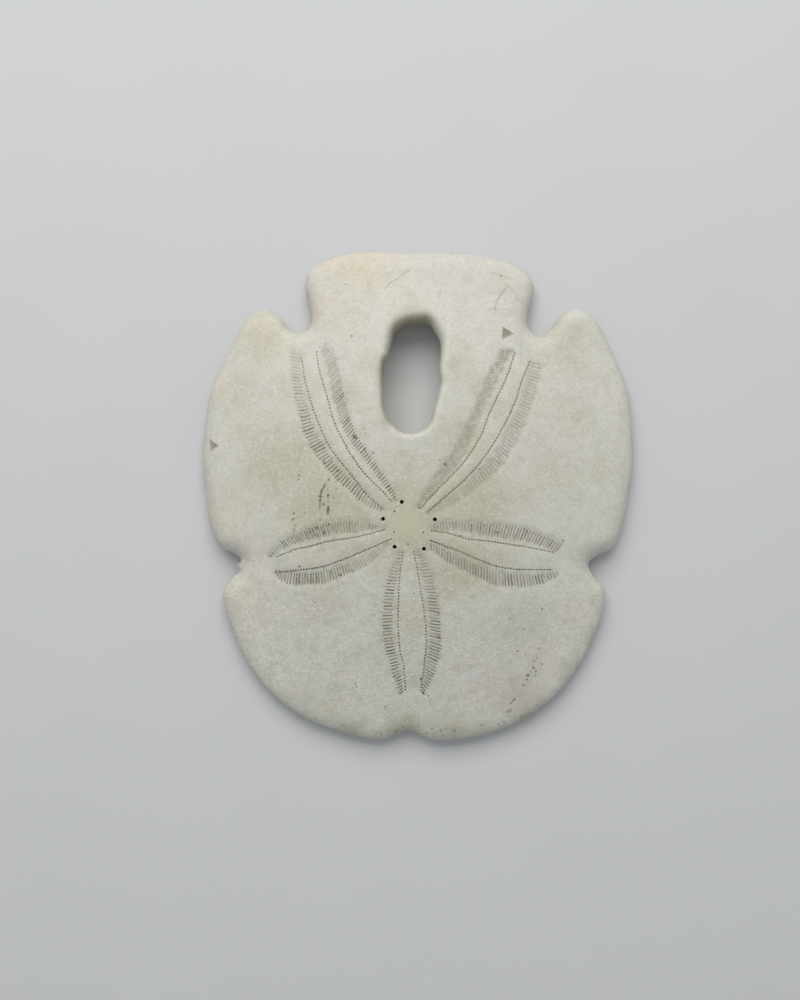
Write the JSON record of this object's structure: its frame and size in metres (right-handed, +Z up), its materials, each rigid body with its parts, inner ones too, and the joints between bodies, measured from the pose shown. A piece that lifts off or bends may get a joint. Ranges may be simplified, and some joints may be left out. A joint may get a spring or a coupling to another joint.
{
  "type": "sand dollar",
  "caption": "Dry, bleached keyhole sand dollar: a flat, low-domed shell with a notched edge, an oval keyhole through its rear and a flower of petal-shaped pore rows. It lies flat.",
  "frame": {"origin": "middle of the bounding box in plan, on the face that the shell rests on", "axes": "+Z up through the domed side with the petals, +Y to the rear edge behind the keyhole, +X to the right side seen from above"},
  "size_m": [0.0792, 0.09, 0.0141],
  "materials": {
    "bleached_shell": "matt, chalky, fine-grained"
  },
  "bodies": {
    "root": {"sand_dollar": "bleached_shell"}
  },
  "joints": []
}
